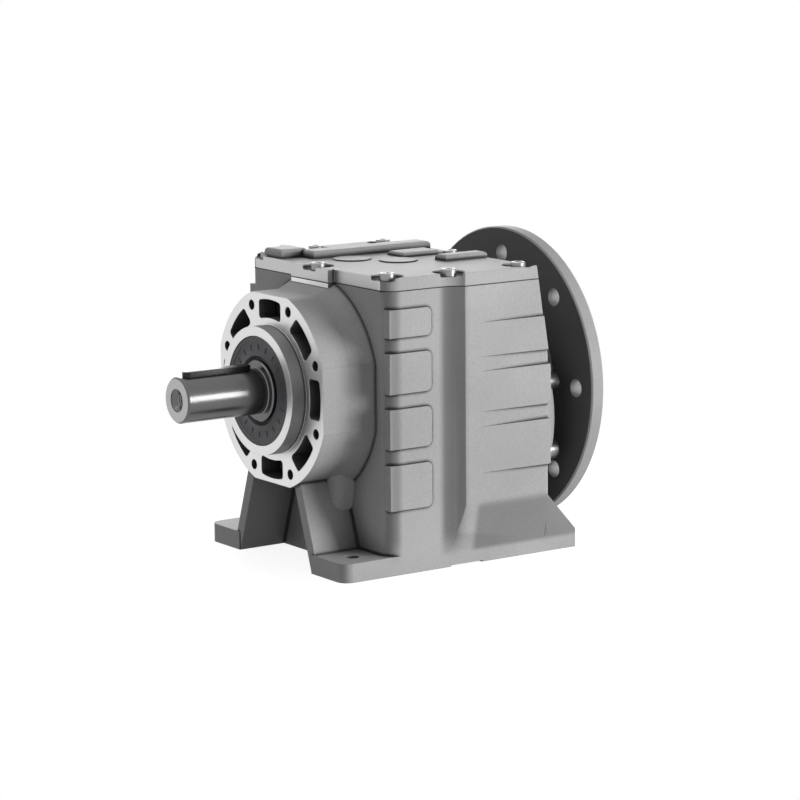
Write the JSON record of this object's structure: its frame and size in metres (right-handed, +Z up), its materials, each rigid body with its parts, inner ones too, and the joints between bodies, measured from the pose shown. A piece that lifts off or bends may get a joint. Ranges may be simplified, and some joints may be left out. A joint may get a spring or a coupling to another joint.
{
  "type": "coaxial gear reducer",
  "caption": "Foot-mounted coaxial helical gear reducer with a keyed output shaft, a bolted top cover and a round motor flange with a hollow input shaft.",
  "frame": {"origin": "centre of the rectangle of the four foot holes, on the mounting face", "axes": "+X across the feet, +Y along the shafts from the output end towards the motor, +Z up from the mounting face"},
  "size_m": [0.2, 0.268, 0.2075],
  "materials": {
    "cast_aluminium": "satin",
    "ground_steel": "ground",
    "gear_steel": "oiled",
    "bearing_steel": "polished",
    "cage_brass": "satin",
    "seal_rubber": "matte",
    "gasket": "matte"
  },
  "bodies": {
    "casing": {"housing": "cast_aluminium", "cover": "cast_aluminium", "cover_gasket": "gasket", "motor_adapter": "cast_aluminium", "adapter_gasket": "gasket", "output_seal": "seal_rubber", "input_seal": "seal_rubber", "output_bearing_ring": "gear_steel", "output_front_outer_ring": "bearing_steel", "output_rear_outer_ring": "bearing_steel", "intermediate_front_outer_ring": "bearing_steel", "intermediate_rear_outer_ring": "bearing_steel", "input_front_outer_ring": "bearing_steel", "input_rear_outer_ring": "bearing_steel"},
    "output_train": {"output_shaft": "ground_steel", "output_key": "ground_steel", "output_gear": "gear_steel", "output_gear_key": "gear_steel", "output_spacer": "gear_steel", "output_gear_ring": "gear_steel", "output_front_inner_ring": "bearing_steel", "output_rear_inner_ring": "bearing_steel"},
    "intermediate_train": {"intermediate_shaft": "gear_steel", "intermediate_gear": "gear_steel", "intermediate_gear_key": "gear_steel", "intermediate_gear_ring": "gear_steel", "intermediate_front_inner_ring": "bearing_steel", "intermediate_rear_inner_ring": "bearing_steel"},
    "input_train": {"input_pinion": "gear_steel", "input_quill": "ground_steel", "input_front_inner_ring": "bearing_steel", "input_rear_inner_ring": "bearing_steel"},
    "output_front_cage_set": {"output_front_cage": "cage_brass"},
    "output_rear_cage_set": {"output_rear_cage": "cage_brass"},
    "intermediate_front_cage_set": {"intermediate_front_cage": "cage_brass"},
    "intermediate_rear_cage_set": {"intermediate_rear_cage": "cage_brass"},
    "input_front_cage_set": {"input_front_cage": "cage_brass"},
    "input_rear_cage_set": {"input_rear_cage": "cage_brass"}
  },
  "joints": [
    {"name": "output_spin", "type": "hinge", "parent": "casing", "child": "output_train", "pos_m": [0, 0, 0.115], "axis": [0, 1, 0], "continuous": true},
    {"name": "intermediate_spin", "type": "hinge", "parent": "casing", "child": "intermediate_train", "pos_m": [0, 0, 0.0555], "axis": [0, 1, 0], "continuous": true},
    {"name": "input_spin", "type": "hinge", "parent": "casing", "child": "input_train", "pos_m": [0, 0, 0.1075], "axis": [0, 1, 0], "continuous": true},
    {"name": "output_front_cage_spin", "type": "hinge", "parent": "casing", "child": "output_front_cage_set", "pos_m": [0, 0, 0.115], "axis": [0, 1, 0], "continuous": true},
    {"name": "output_rear_cage_spin", "type": "hinge", "parent": "casing", "child": "output_rear_cage_set", "pos_m": [0, 0, 0.115], "axis": [0, 1, 0], "continuous": true},
    {"name": "intermediate_front_cage_spin", "type": "hinge", "parent": "casing", "child": "intermediate_front_cage_set", "pos_m": [0, 0, 0.0555], "axis": [0, 1, 0], "continuous": true},
    {"name": "intermediate_rear_cage_spin", "type": "hinge", "parent": "casing", "child": "intermediate_rear_cage_set", "pos_m": [0, 0, 0.0555], "axis": [0, 1, 0], "continuous": true},
    {"name": "input_front_cage_spin", "type": "hinge", "parent": "casing", "child": "input_front_cage_set", "pos_m": [0, 0, 0.1075], "axis": [0, 1, 0], "continuous": true},
    {"name": "input_rear_cage_spin", "type": "hinge", "parent": "casing", "child": "input_rear_cage_set", "pos_m": [0, 0, 0.1075], "axis": [0, 1, 0], "continuous": true}
  ],
  "couplings": [
    {"joint": "intermediate_spin", "follows": "output_spin", "ratio": -2.7143},
    {"joint": "input_spin", "follows": "output_spin", "ratio": 6.5143},
    {"joint": "output_front_cage_spin", "follows": "output_spin", "ratio": 0.39626},
    {"joint": "output_rear_cage_spin", "follows": "output_spin", "ratio": 0.39481},
    {"joint": "intermediate_front_cage_spin", "follows": "output_spin", "ratio": -1.029},
    {"joint": "intermediate_rear_cage_spin", "follows": "output_spin", "ratio": -1.0286},
    {"joint": "input_front_cage_spin", "follows": "output_spin", "ratio": 2.6824},
    {"joint": "input_rear_cage_spin", "follows": "output_spin", "ratio": 2.7505}
  ]
}
